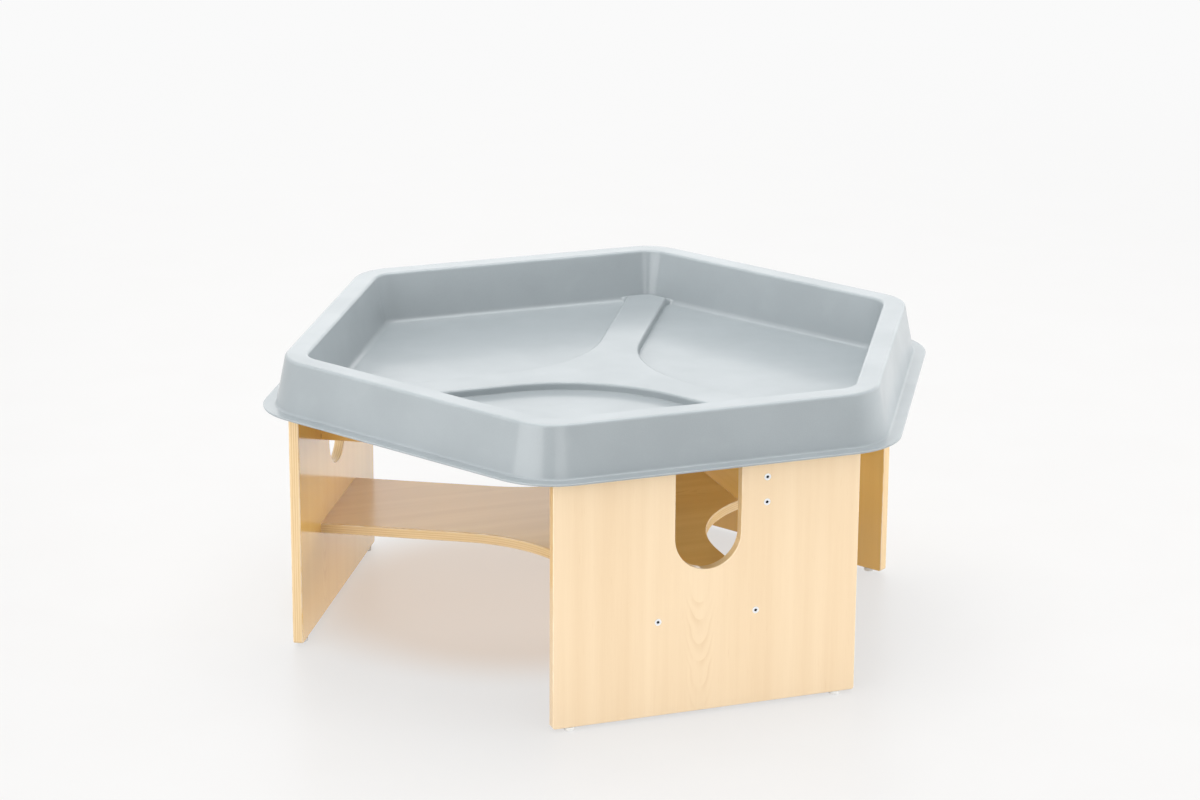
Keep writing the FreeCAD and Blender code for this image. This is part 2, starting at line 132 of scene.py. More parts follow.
disc = flat_disc(FLOOR_REACH)
under = disc[::-1] - (0, 0, FLOOR_DEEP)
floor_poles = [(0, 0, 0), (0, 0, -FLOOR_DEEP)]
studio_floor = skin("studio_floor", np.concatenate([disc, under]), floor_poles)


# %% [markdown]
# ## Working with shader nodes
# A finish is a small network of nodes. It can be drawn by hand in the shader editor. Written as
# code it is easier to repeat, so a few helpers make a node with its inputs filled, do a step of
# arithmetic, blend two colours, and start a group that several finishes can share.

# %% Helpers for nodes
def make_node(tree, kind, inputs=None, **settings):
    """A node of a tree with its settings, and a number, a colour or a link in each named input."""
    node = tree.nodes.new(kind)
    for name, value in settings.items():
        setattr(node, name, value)
    for name, value in (inputs or {}).items():
        if isinstance(value, bpy.types.NodeSocket):
            tree.links.new(value, node.inputs[name])
        else:
            node.inputs[name].default_value = value
    return node


def calc(tree, operation, first, second=0.0):
    """One step of arithmetic on two numbers or links."""
    return make_node(tree, "ShaderNodeMath", {0: first, 1: second}, operation=operation).outputs[0]


def weigh(tree, start, *terms):
    """A start value plus the sum of values, each times its weight."""
    total = start
    for value, weight in terms:
        total = calc(tree, "ADD", calc(tree, "MULTIPLY", value, weight), total)
    return total


def noise(tree, vector, scale=1.0, detail=2.0):
    """Soft noise from 0 to 1 that varies with a vector."""
    settings = {"Vector": vector, "Scale": scale, "Detail": detail}
    return make_node(tree, "ShaderNodeTexNoise", settings).outputs[0]


def span(tree, value, low, high, to_low=0.0, to_high=1.0):
    """A value eased from one range into another, and held at the ends."""
    ends = {"Value": value, "From Min": low, "From Max": high, "To Min": to_low, "To Max": to_high}
    return make_node(tree, "ShaderNodeMapRange", ends, interpolation_type="SMOOTHSTEP").outputs[0]


def blend(tree, share, first, second, how="MIX"):
    """The first colour where the share is 0, and at 1 the second, mixed or multiplied in."""
    colours = {0: share, 6: first, 7: second}
    return make_node(tree, "ShaderNodeMix", colours, data_type="RGBA", blend_type=how).outputs[2]


print("helpers for single nodes ready")


# %% Helpers for groups and materials
def new_group(name, inputs, outputs):
    """An empty shader node group with named inputs and outputs, and its two end nodes."""
    tree = bpy.data.node_groups.new(name, "ShaderNodeTree")
    for label, kind, value in inputs:
        socket = tree.interface.new_socket(label, in_out="INPUT", socket_type=f"NodeSocket{kind}")
        socket.default_value = value
    for label, kind in outputs:
        tree.interface.new_socket(label, in_out="OUTPUT", socket_type=f"NodeSocket{kind}")
    return tree, tree.nodes.new("NodeGroupInput").outputs, tree.nodes.new("NodeGroupOutput").inputs


def new_finish(name):
    """A material with its tree, its surface shader and the piece's own coordinates."""
    finish = bpy.data.materials.new(name)
    finish.use_nodes = True
    tree = finish.node_tree
    place = tree.nodes.new("ShaderNodeTexCoord").outputs["Object"]
    return finish, tree, tree.nodes["Principled BSDF"], place


def watched_rays(tree):
    """1 for rays that look at a surface, straight or in a mirror, and 0 for rays that light it."""
    rays = tree.nodes.new("ShaderNodeLightPath").outputs
    bent = calc(tree, "MAXIMUM", rays["Is Glossy Ray"], rays["Is Transmission Ray"])
    return calc(tree, "MAXIMUM", rays["Is Camera Ray"], bent)


print("helpers for groups and materials ready")

# %% [markdown]
# ## White floor
# A studio floor is painted white, and far from the lamps it would still turn grey. More light
# could make it whiter, but would burn out the table. So the floor glows a little for rays that
# look at it: two thirds of what is seen near the table, where the shadow lies, and all of it far
# away. Between the legs the glow is tinted with the wood's colour: that is painted bounce light,
# standing in for the warm light that the wood throws down onto the floor there.

# %% Paint of the floor
FLOOR_CLEAN, FLOOR_SCUFFED = (0.60, 0.59, 0.578, 1), (0.585, 0.572, 0.557, 1)
paint, tree, lit_floor, place = new_finish("white_floor_paint")
scuffs = span(tree, noise(tree, place, 6.0, 4.0), 0.3, 0.7)
lit_colour = blend(tree, scuffs, FLOOR_CLEAN, FLOOR_SCUFFED)
tree.links.new(lit_colour, lit_floor.inputs["Base Color"])
lit_floor.inputs["Roughness"].default_value = 0.35
lit_floor.inputs["Specular IOR Level"].default_value = 0.5
print("floor painted with", paint.name)

# %% Glow of the floor
FLOOR_WHITE, NEAR_SHARE = 0.955, 0.66
FADE_FROM, FADE_TO = 1.0, 4.5
# Painted bounce light: under the table the glow takes this wood colour.
PAINTED_WOOD_BOUNCE = (0.835, 0.720, 0.630, 1)
WARM_MIDDLE, WARM_END, WARM_FULL = (-0.10, 0.10, 0), 0.38, 0.22
away = make_node(tree, "ShaderNodeVectorMath", {0: place}, operation="LENGTH").outputs["Value"]
fade = span(tree, away, FADE_FROM, FADE_TO, NEAR_SHARE, 1.0)
ends = {0: place, 1: WARM_MIDDLE}
from_warm = make_node(tree, "ShaderNodeVectorMath", ends, operation="DISTANCE").outputs["Value"]
# Share of the painted bounce light, full near the warm middle and gone at its end.
painted_bounce_share = span(tree, from_warm, WARM_END, WARM_FULL)
glow_colour = blend(tree, painted_bounce_share, (FLOOR_WHITE, FLOOR_WHITE, FLOOR_WHITE, 1), PAINTED_WOOD_BOUNCE)
glow = make_node(tree, "ShaderNodeEmission", {"Color": glow_colour})
glowing = calc(tree, "MULTIPLY", fade, watched_rays(tree))
both = {0: glowing, 1: lit_floor.outputs[0], 2: glow.outputs[0]}
floor_mix = make_node(tree, "ShaderNodeMixShader", both)
tree.links.new(floor_mix.outputs[0], tree.nodes["Material Output"].inputs["Surface"])
studio_floor.data.materials.append(paint)
print("floor glows by", NEAR_SHARE, "near the table and wholly beyond", FADE_TO, "m")

# %% [markdown]
# ## Lamps and room
# The tops of the tray are the brightest faces in the photograph, its left front wall comes next
# and its right front wall last, so the light comes from above and from the left. Two upright
# streaks on the front corner tell of two upright lamps. Bare bulbs would throw hard shadows, so
# each lamp is a wide softbox, and the white room fills in from all sides. Two fill lamps reach in
# under the tray from the right and the back. They are kept out of mirrors, where they would
# glare, and mirrors show the room dim behind the camera, because the wall that faces the camera
# is the darkest in the photograph.

# %% Lamps
LAMPS = {  # heading from +X in degrees, distance, height, width and height of the box, watts
    "overhead_softbox": (60, 0.25, 3.6, 3.4, 3.4, 104),
    "left_softbox": (207, 4.6, 1.5, 4.6, 2.9, 124),
    "front_strip": (264, 4.6, 1.3, 1.6, 2.2, 23),
    "right_fill": (345, 3.6, 0.4, 3.0, 0.8, 88),
    "back_softbox": (62, 4.2, 1.6, 4.5, 1.8, 16),
    "back_fill": (80, 4.2, 1.7, 4.0, 1.6, 46),
}
LAMP_AIM = Vector((0, 0, 0.4))
for name, (heading, distance, up, width, height, watts) in LAMPS.items():
    lamp = bpy.data.lights.new(name, "AREA")
    lamp.shape = "RECTANGLE"
    lamp.size, lamp.size_y, lamp.energy = width, height, watts
    stand = bpy.data.objects.new(name, lamp)
    way = math.radians(heading)
    stand.location = (distance * math.cos(way), distance * math.sin(way), up)
    stand.rotation_euler = (LAMP_AIM - stand.location).to_track_quat("-Z", "Y").to_euler()
    stand.visible_glossy = "fill" not in name
    bpy.context.scene.collection.objects.link(stand)
print(len(LAMPS), "softboxes")

# %% White room, dim behind the camera
ROOM_LIGHT, ROOM_WHITE, ROOM_DIM = 0.62, 0.97, 0.3
DIM_WAY, DIM_FROM, DIM_FULL = math.radians(290), 0.2, 0.7
room = bpy.data.worlds.new("white_room")
room.use_nodes = True
bpy.context.scene.world = room
tree = room.node_tree
looking = make_node(tree, "ShaderNodeTexCoord").outputs["Generated"]
toward_dim = (math.cos(DIM_WAY), math.sin(DIM_WAY), 0)
ways = {0: looking, 1: toward_dim}
facing = make_node(tree, "ShaderNodeVectorMath", ways, operation="DOT_PRODUCT").outputs["Value"]
mirrored = span(tree, facing, DIM_FROM, DIM_FULL, ROOM_WHITE, ROOM_DIM)
rays = tree.nodes.new("ShaderNodeLightPath").outputs
lighting = {0: rays["Is Glossy Ray"], 2: ROOM_LIGHT, 3: mirrored}
unseen = make_node(tree, "ShaderNodeMix", lighting, data_type="FLOAT").outputs[0]
seen = {0: rays["Is Camera Ray"], 2: unseen, 3: ROOM_WHITE}
strength = make_node(tree, "ShaderNodeMix", seen, data_type="FLOAT").outputs[0]
walls = tree.nodes["Background"]
walls.inputs["Color"].default_value = (1, 1, 1, 1)
tree.links.new(strength, walls.inputs["Strength"])
print("room lights with", ROOM_LIGHT, "and shows as", ROOM_WHITE)
print("mirrors show it as", ROOM_DIM, "behind the camera")

# %% [markdown]
# ## Section of the tray
# The tray is one sheet of plastic, formed hot over a mould: a floor with a raised star, walls
# that lean out, a rim that is hollow underneath, and a flange. It could be cut from a block with
# booleans, which leaves hard corners. A formed sheet has a soft bend everywhere, so its section
# is drawn here as a line with round corners, out from a corner's centre, to be carried along the
# six-sided run of the rim.

# %% Sizes of the section
SHEET, RIM_REACH, RIM_WIDTH, RIM_ROUND = 3.0, 426.5, 32.5, 4.5
FOOT_CORNER, FOOT_ROUND, UNDER_ROUND, FLOOR_CORNER = 24.0, 9.0, 4.0, 12.0
FLANGE_WIDTH, FLANGE_RISE, FLANGE_ROUND, LIP_ROUND = 18.5, 3.0, 4.0, 1.2
DRAFT = math.radians(11.5)
tray_low, tray_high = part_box("tray")
SEAT = tray_low.z / MM
RIM_HEIGHT = (tray_high.z - tray_low.z) / MM
CORNER_REACH = RIM_REACH - RIM_WIDTH - (RIM_HEIGHT - SHEET) * math.tan(DRAFT) - FOOT_CORNER
print("tray seat at", round(SEAT, 1), "and rim", round(RIM_HEIGHT, 1), "above it")


# %% A line with round corners
def rounded_line(corners, radii, steps=7):
    """Points of an open line whose inner corners are arcs, tangent to both sides.

    Where b and a are the unit ways back and ahead of a corner and 2h is the angle between them, an
    arc of radius r starts r / tan h back along b, and its centre is r / sin h away along b + a.
    One more point outside each end of the arc keeps the flats flat when they are shaded.
    """
    corners, radii = np.asarray(corners, float), np.asarray(radii, float)[:, None]
    legs = np.diff(corners, axis=0)
    lengths = np.linalg.norm(legs, axis=1, keepdims=True)
    back, ahead = -(legs / lengths)[:-1], (legs / lengths)[1:]
    half = np.arccos(np.sum(back * ahead, axis=1, keepdims=True)) / 2
    cut = radii / np.tan(half)
    spare = lengths - np.vstack([cut, [[0]]]) - np.vstack([[[0]], cut])
    hold = np.minimum(1.0, spare / 4)
    toward = (back + ahead) / np.linalg.norm(back + ahead, axis=1, keepdims=True)
    centre = corners[1:-1] + toward * radii / np.sin(half)
    start = corners[1:-1] + back * cut - centre
    side = np.sign(back[:, :1] * ahead[:, 1:] - back[:, 1:] * ahead[:, :1])
    sweep = -side * (np.pi - 2 * half) * np.linspace(0, 1, steps + 1)
    turned_x = start[:, :1] * np.cos(sweep) - start[:, 1:] * np.sin(sweep)
    turned_y = start[:, :1] * np.sin(sweep) + start[:, 1:] * np.cos(sweep)
    arcs = centre[:, None] + np.stack([turned_x, turned_y], axis=-1)
    before = (corners[1:-1] + back * (cut + hold[:-1]))[:, None]
    after = (corners[1:-1] + ahead * (cut + hold[1:]))[:, None]
    inner = np.concatenate([before, arcs, after], axis=1).reshape(-1, 2)
    return np.vstack([corners[:1], inner, corners[-1:]])


def inner_wall(up):
    """Distance of the rim's inner wall from the corner's centre at a height above the seat."""
    return FOOT_CORNER + (up - SHEET) * math.tan(DRAFT)


def outer_wall(up):
    """Distance of the rim's outer wall from the corner's centre at a height above the seat."""
    return RIM_REACH - CORNER_REACH + (RIM_HEIGHT - up) * math.tan(DRAFT)


print("walls lean from", round(outer_wall(RIM_HEIGHT), 1), "to", round(outer_wall(0), 1))

# %% Inside line, from the floor up to the rim
WALL_SHARES = np.array([0.03, 0.055, 0.08, 0.12, 0.25, 0.55])[:, None]
inside_line = rounded_line(
    [(FLOOR_CORNER, SHEET), (FOOT_CORNER, SHEET), (inner_wall(RIM_HEIGHT), RIM_HEIGHT),
     (outer_wall(RIM_HEIGHT), RIM_HEIGHT)], [FOOT_ROUND, RIM_ROUND])[:-1]
wall_row = int(np.argmax(np.diff(inside_line[:, 1]))) + 1
wall_foot, wall_head = inside_line[wall_row - 1], inside_line[wall_row]
wall_points = wall_foot + WALL_SHARES * (wall_head - wall_foot)
inside_line = np.insert(inside_line, wall_row, wall_points, axis=0)
print("inside line of", len(inside_line), "points")

# %% Outside line, over the rim, down to the flange and back under the floor
through = SHEET / math.cos(DRAFT)
ceiling = RIM_HEIGHT - SHEET
flange_top = FLANGE_RISE + SHEET
flange_edge = outer_wall(flange_top) + FLANGE_WIDTH
outside_corners = [
    (inner_wall(RIM_HEIGHT), RIM_HEIGHT), (outer_wall(RIM_HEIGHT), RIM_HEIGHT),
    (outer_wall(flange_top), flange_top), (flange_edge, flange_top), (flange_edge, FLANGE_RISE),
    (outer_wall(FLANGE_RISE) - through, FLANGE_RISE), (outer_wall(ceiling) - through, ceiling),
    (inner_wall(ceiling) + through, ceiling), (inner_wall(0) + through, 0), (FLOOR_CORNER, 0)]
outside_line = rounded_line(
    outside_corners, [RIM_ROUND, FLANGE_ROUND, LIP_ROUND, LIP_ROUND, FLANGE_ROUND + SHEET,
                      RIM_ROUND - SHEET, RIM_ROUND - SHEET, UNDER_ROUND])[1:]
print("outside line of", len(outside_line), "points")

# %% [markdown]
# ## Star in the floor
# Three raised arms stiffen the floor. They run to every other corner, meet in round bays, and
# flare into the wall at their ends, where they dip a little. The star could be a second object
# laid on the floor, but then its foot would show as a crack. So it is a height over the plan: how
# far a point lies inside the star's edge picks its height on the section of the step.

# %% Sizes of the star
STAR_STEP, STAR_HALF, STAR_BAY = 11.5, 31.0, 235.0
STAR_ROUND, STAR_FOOT, STAR_LEAN, STEP_FLAT = 4.0, 1.5, 0.7, 3.0
RECESS_STOP, ARM_FLARE, WALL_START = 34.0, 18.0, 26.0
DIP_START, DIP_LENGTH, DIP_SHARE = 12.0, 9.0, 0.42
SIXTH = math.radians(60)
half_side = CORNER_REACH * math.tan(SIXTH / 2)
BAY_CENTRE = (STAR_HALF + STAR_BAY) / math.sin(SIXTH)
step_corners = [(STAR_ROUND + STEP_FLAT, STAR_STEP), (0, STAR_STEP), (-STAR_LEAN, 0),
                (-STAR_FOOT - STEP_FLAT, 0)]
step_line = rounded_line(step_corners, [STAR_ROUND, STAR_FOOT])[1:-1]
print("step of", len(step_line), "points")


# %% Distances over the plan
def star_reach(turn, inset):
    """How far the star's edge, set in by an inset, lies from the middle along a ray.

    The turn runs from 0 in the middle of a bay to a sixth of a circle along an arm. Near the bay
    the ray meets the bay's circle, about a centre on its middle line. Further on it meets the side
    of the arm.
    """
    change = SIXTH - np.arctan((STAR_HALF - inset) / (BAY_CENTRE * math.cos(SIXTH)))
    bay = np.minimum(turn, change)
    across = np.sqrt((STAR_BAY + inset) ** 2 - (BAY_CENTRE * np.sin(bay)) ** 2)
    straight_part = (STAR_HALF - inset) / np.sin(np.maximum(SIXTH - turn, 1e-6))
    return np.where(turn < change, BAY_CENTRE * np.cos(bay) - across, straight_part)


def fold(points):
    """The turn of points from the nearest bay's middle line: it repeats by thirds and mirrors."""
    return np.abs((np.angle(points) + SIXTH) % (2 * SIXTH) - SIXTH)


def corner_distance(points):
    """How far points lie outside the line of the corners' centres: from its side or its corner."""
    local = np.abs(points) * np.exp(1j * (np.angle(points) % SIXTH - SIXTH / 2))
    past = np.maximum(np.abs(local.imag) - half_side, 0)
    return np.where(past > 0, np.hypot(local.real - CORNER_REACH, past), local.real - CORNER_REACH)


def star_inset(points):
    """How far points lie inside the star's edge: from the bay's circle or the side of the arm.

    Where an arm comes to the wall, a round of the flare's radius joins the two: inside it, the
    inset is the distance from the round's centre, taken from how far the arm and the wall are.
    """
    folded = np.abs(points) * np.exp(1j * fold(points))
    along_arm = folded * np.exp(-1j * SIXTH)
    from_bay = np.abs(folded - BAY_CENTRE) - STAR_BAY
    on_arm = along_arm.real > BAY_CENTRE * math.cos(SIXTH)
    star = np.where(on_arm, STAR_HALF - np.abs(along_arm.imag), from_bay)
    wall = corner_distance(points) - WALL_START
    near = np.hypot(np.maximum(ARM_FLARE + star, 0), np.maximum(ARM_FLARE + wall, 0))
    return near - np.maximum(ARM_FLARE, -np.maximum(star, wall))


def star_rise(points):
    """How high the star stands above the floor at points: the section of its step by inset, less
    the dip at the end of an arm, which falls in half a wave towards the wall and stays low."""
    step = np.interp(star_inset(points), step_line[::-1, 0], step_line[::-1, 1])
    fallen = np.clip((corner_distance(points) - DIP_START) / DIP_LENGTH, 0, 1)
    return step * (1 - DIP_SHARE * np.sin(np.pi / 2 * fallen) ** 2)


print("bay", round(float(star_reach(0.0, 0.0)), 1), "from the middle")

# %% [markdown]
# ## The formed tray
# Now the section goes round the rim. A path could carry it, but at the corners the rows would
# bunch up. Here columns stand along each side and fan out round each corner, close together near
# the corners where the arms flare. Each column has the same rows: out over the floor, up the
# wall, over the rim, down to the flange, and back underneath to the hollow below the star.

# %% Columns of the tray
CROWD_LENGTH, CROWDED, SPARSE, FANNED = 44.0, 22, 30, 10
crowded = np.linspace(half_side - CROWD_LENGTH, half_side, CROWDED)
sparse = np.linspace(-crowded[0], crowded[0], SPARSE + 2)[1:-1]
along = np.concatenate([-crowded[::-1], sparse, crowded])
fan = np.linspace(0, SIXTH, FANNED + 2)[1:-1]
way = np.concatenate([np.zeros(len(along)), fan])
along = np.concatenate([along, np.full(len(fan), half_side)])
sides = np.exp(1j * (SIXTH / 2 + SIXTH * np.arange(6)))[:, None]
column_foot = (sides * (CORNER_REACH + 1j * along)).ravel()
column_way = (sides * np.exp(1j * way)).ravel()
print(len(column_foot), "columns")


# %% A helper that lifts the plan
def lift(points, height):
    """Points of the plan, as complex numbers, with their height above the seat, in metres."""
    return np.stack([points.real, points.imag, SEAT + height + 0 * points.real], axis=-1) * MM


print("plan lifted from", round(SEAT, 1), "mm")

# %% Rows over the floor
SPREAD = np.array([0.05, 0.25, 0.5, 0.75, 0.95])[:, None]
BESIDE_WALL = np.array([1.5, 3, 4.5, 6, 8, 10, 12.5, 15, 18, 22])[:, None]
EDGE_GAP, LEAST_GAP = 0.3, 0.05
floor_edge = column_foot + FLOOR_CORNER * column_way
ray, turn, reach = floor_edge / np.abs(floor_edge), fold(floor_edge), np.abs(floor_edge)
steps_out = star_reach(turn[None], step_line[:, :1])
top_out = SPREAD * np.minimum(steps_out[0], reach - FLOOR_CORNER)
basin_out = steps_out[-1] + SPREAD * (reach - steps_out[-1])
floor_out = np.concatenate([top_out, steps_out, basin_out, reach - BESIDE_WALL])
floor_out = np.sort(floor_out, axis=0)
# Rows keep their order: they stay apart by a least gap, and leave room for those further out.
order = np.arange(len(floor_out))[:, None]
floor_out = np.minimum(floor_out, reach - EDGE_GAP * (len(floor_out) - order))
floor_out = np.maximum.accumulate(floor_out - LEAST_GAP * order, axis=0) + LEAST_GAP * order
floor_plan = floor_out * ray
floor_rows = lift(floor_plan, SHEET + star_rise(floor_plan))
print(len(floor_rows), "rows over the floor")

# %% Rows up the wall, over the rim and underneath
UNDER_SHARES = np.array([0.7, 0.4, 0.1, 0.0])[:, None]
ROOF_SHARES = np.array([1.0, 0.98, 0.6, 0.3])[:, None]
wall_plan = column_foot + inside_line[:, :1] * column_way
wall_rows = lift(wall_plan, np.maximum(SHEET + star_rise(wall_plan), inside_line[:, 1:]))
rim_plan = column_foot + outside_line[:, :1] * column_way
rim_rows = lift(rim_plan, outside_line[:, 1:])
arm_end = (CORNER_REACH + inner_wall(SHEET + STAR_STEP)) / math.cos(SIXTH / 2) - RECESS_STOP
recess_out = np.minimum(star_reach(turn, SHEET), arm_end / np.cos(SIXTH - turn))
under_out = recess_out + UNDER_SHARES * (reach - recess_out)
under_rows = lift(under_out * ray, 0.0)
roof_rows = lift(ROOF_SHARES * recess_out * ray, STAR_STEP)
row_counts = [len(rows) for rows in (wall_rows, rim_rows, under_rows, roof_rows)]
print("rows up the wall, outside, under the floor and under the star", row_counts)

# %% The tray as one skin
CREASE = math.radians(50)
tray_rings = np.concatenate([floor_rows, wall_rows, rim_rows, under_rows, roof_rows])
poles = [(0, 0, (SEAT + SHEET + STAR_STEP) * MM), (0, 0, (SEAT + STAR_STEP) * MM)]
formed_tray = skin("formed_tray", tray_rings, poles)
formed_tray.data.set_sharp_from_angle(angle=CREASE)
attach(formed_tray, "tray")
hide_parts("tray")


# %% [markdown]
# ## Where hands rub the tray
# Plastic is rubbed paler and duller where it bends outwards: on the rim, the lip and the star's
# edge. A mask could be painted on by hand. Here it comes from the section itself: how sharply the
# line turns at a row, counted only where it turns outwards, is kept on the mesh as an attribute
# named bend.

# %% Bend of the sheet at each point
def outward_bend(line, radius):
    """1 where a section line turns right in a round of the radius or less, 0 where it is straight.

    The turn is the cross product of the unit steps before and after a point, over the mean of
    their lengths.
    """
    steps = np.diff(line, axis=0)
    lengths = np.linalg.norm(steps, axis=1)
    unit = steps / lengths[:, None]
    turning = unit[:-1, 0] * unit[1:, 1] - unit[:-1, 1] * unit[1:, 0]
    sharpness = -turning / ((lengths[:-1] + lengths[1:]) / 2)
    return np.concatenate([[0], np.clip(sharpness * radius, 0, 1), [0]])


around = len(column_foot)
star_bend = np.clip(1 - np.abs(star_inset(floor_plan) - STAR_ROUND / 3) / STAR_ROUND, 0, 1)
wall_bend = np.repeat(outward_bend(inside_line, RIM_ROUND), around)
rim_bend = np.repeat(outward_bend(outside_line, RIM_ROUND), around)
below = np.zeros((len(under_rows) + len(roof_rows)) * around + len(poles))
bend_values = np.concatenate([star_bend.ravel(), wall_bend, rim_bend, below])
bend = formed_tray.data.attributes.new("bend", "FLOAT", "POINT")
bend.data.foreach_set("value", bend_values)
print("bend set on", len(bend_values), "points, highest", round(float(bend_values.max()), 2))

# %% [markdown]
# ## Uneven satin
# Moulded plastic and zinc plate are never one flat tone. There are patches that are a touch more
# matt, a fine grain, slow waves where the sheet cooled, smudges left by hands, and scuffs on
# what sticks out. Each finish could have its own network, but they share the same make-up, so
# it is built once as a group, and each finish brings its own two tones.

# %% Uneven satin, shared by the plastics and the zinc
PATCH_SHARE, GRAIN_SHARE, SMUDGE_SHARE = 0.7, 0.3, 0.3
SCUFF_SCALE, SMUDGE_SCALE = 30.0, 26.0
WORN_PALER, WORN_DULLER = (1.12, 1.11, 1.10, 1), 0.08
satin, given, made = new_group(
    "uneven_satin",
    [("Vector", "Vector", (0, 0, 0)),
     ("Patch Scale", "Float", 9.0), ("Grain Scale", "Float", 900.0),
     ("Base", "Color", (0.5, 0.5, 0.5, 1)), ("Shade", "Color", (0.4, 0.4, 0.4, 1)),
     ("Smooth", "Float", 0.3), ("Matt", "Float", 0.45), ("Rubbed", "Float", 0.0)],
    [("Color", "Color"), ("Roughness", "Float"), ("Height", "Float")])
patches = noise(satin, given["Vector"], given["Patch Scale"], 3.0)
grain = noise(satin, given["Vector"], given["Grain Scale"], 1.0)
mottled = weigh(satin, 0.0, (patches, PATCH_SHARE), (grain, GRAIN_SHARE))
tone = span(satin, mottled, 0.3, 0.7)
scuffed = span(satin, noise(satin, given["Vector"], SCUFF_SCALE, 6.0), 0.2, 0.9)
smudges = span(satin, noise(satin, given["Vector"], SMUDGE_SCALE, 5.0), 0.55, 0.75)
worn = weigh(satin, calc(satin, "MULTIPLY", given["Rubbed"], scuffed), (smudges, SMUDGE_SHARE))
two_tones = blend(satin, tone, given["Base"], given["Shade"])
paler = blend(satin, 1.0, two_tones, WORN_PALER, "MULTIPLY")
satin.links.new(blend(satin, worn, two_tones, paler), made["Color"])
dull = span(satin, patches, 0.25, 0.75)
ends = {0: dull, 2: given["Smooth"], 3: given["Matt"]}
gloss = make_node(satin, "ShaderNodeMix", ends, data_type="FLOAT").outputs[0]
satin.links.new(weigh(satin, gloss, (worn, WORN_DULLER)), made["Roughness"])
satin.links.new(patches, made["Height"])
print("group", satin.name, "with", len(satin.nodes), "nodes")


# %% A material of the uneven satin
def satin_finish(name, base, shade, gloss, scales, wave):
    """A material of the uneven satin, with its two tones, how rough its smooth and its matt spots
    are, the scales of its patches and its grain, and the depth of its slow waves."""
    finish, tree, face, place = new_finish(name)
    group = make_node(tree, "ShaderNodeGroup", node_tree=satin)
    tree.links.new(place, group.inputs["Vector"])
    labels = ("Base", "Shade", "Smooth", "Matt", "Patch Scale", "Grain Scale")
    for label, value in zip(labels, (base, shade, *gloss, *scales)):
        group.inputs[label].default_value = value
    tree.links.new(group.outputs["Color"], face.inputs["Base Color"])
    tree.links.new(group.outputs["Roughness"], face.inputs["Roughness"])
    bump = make_node(tree, "ShaderNodeBump", {"Height": group.outputs["Height"], "Distance": wave})
    tree.links.new(bump.outputs[0], face.inputs["Normal"])
    return finish, tree, face, group


print("satin finish ready")


# %% [markdown]
# ## Tray plastic
# The sheet is a cool light grey with a satin face. The photograph shows it much lighter on top
# than on its walls, but that is light, not colour, so the tone is taken from the walls. Making
# the whole face smoother would turn it into a mirror, so a thin glossy coat lies over the satin
# instead: it shows only at a low angle, where the right wall and the basin mirror what is behind
# them.

# %% Tray plastic
TRAY_BASE, TRAY_SHADE = (0.342, 0.378, 0.396, 1), (0.313, 0.347, 0.364, 1)
TRAY_LOOK = ((0.32, 0.42), (9.0, 800.0), 0.0006)
tray_plastic, tree, tray_face, group = satin_finish(
    "grey_tray_plastic", TRAY_BASE, TRAY_SHADE, *TRAY_LOOK)
tray_face.inputs["Coat Weight"].default_value = 0.5
tray_face.inputs["Specular IOR Level"].default_value = 0.3
tray_face.inputs["Coat Roughness"].default_value = 0.15
rubbed = make_node(tree, "ShaderNodeAttribute", attribute_name="bend").outputs["Fac"]
tree.links.new(rubbed, group.inputs["Rubbed"])
formed_tray.data.materials.append(tray_plastic)
print("tray dressed in", tray_plastic.name)


# %% [markdown]
# ## Screws, nails and glides
# The screws are bright zinc, with a socket that is dark inside. The socket could be left to its
# own shadow, but zinc walls mirror each other and stay light. So whatever lies deeper than the
# head's face is painted dark, along the way in which that leg's screws point: painted shade for
# the shadow deep in the socket, and for the soot and grease that a real socket holds. The plating
# on a screw's head is milky, which is why it is only half a metal.

# %% Zinc and white plastic
def dress(node, finish):
    """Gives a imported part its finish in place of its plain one."""
    nodes[node].data.materials.clear()
    nodes[node].data.materials.append(finish)


ZINC_BASE, ZINC_SHADE = (0.93, 0.94, 0.95, 1), (0.82, 0.84, 0.86, 1)
ZINC_LOOK = ((0.42, 0.56), (350.0, 2500.0), 0.00001)
WHITE_BASE, WHITE_SHADE = (0.84, 0.84, 0.82, 1), (0.78, 0.78, 0.76, 1)
WHITE_LOOK = ((0.35, 0.5), (160.0, 2000.0), 0.00001)
zinc, _, zinc_face, _ = satin_finish("zinc_nails", ZINC_BASE, ZINC_SHADE, *ZINC_LOOK)
zinc_face.inputs["Metallic"].default_value = 1.0
white_plastic = satin_finish("white_glide", WHITE_BASE, WHITE_SHADE, *WHITE_LOOK)[0]
for node in nodes:
    if "nails" in node:
        dress(node, zinc)
    elif "glide_" in node:
        dress(node, white_plastic)
print("nails and glides dressed")

# %% Screws with a dark socket
LEG_TURNS = {"front": 0, "right": 2 * SIXTH, "left": 4 * SIXTH}
HEAD_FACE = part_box("leg_panel_front")[0].y
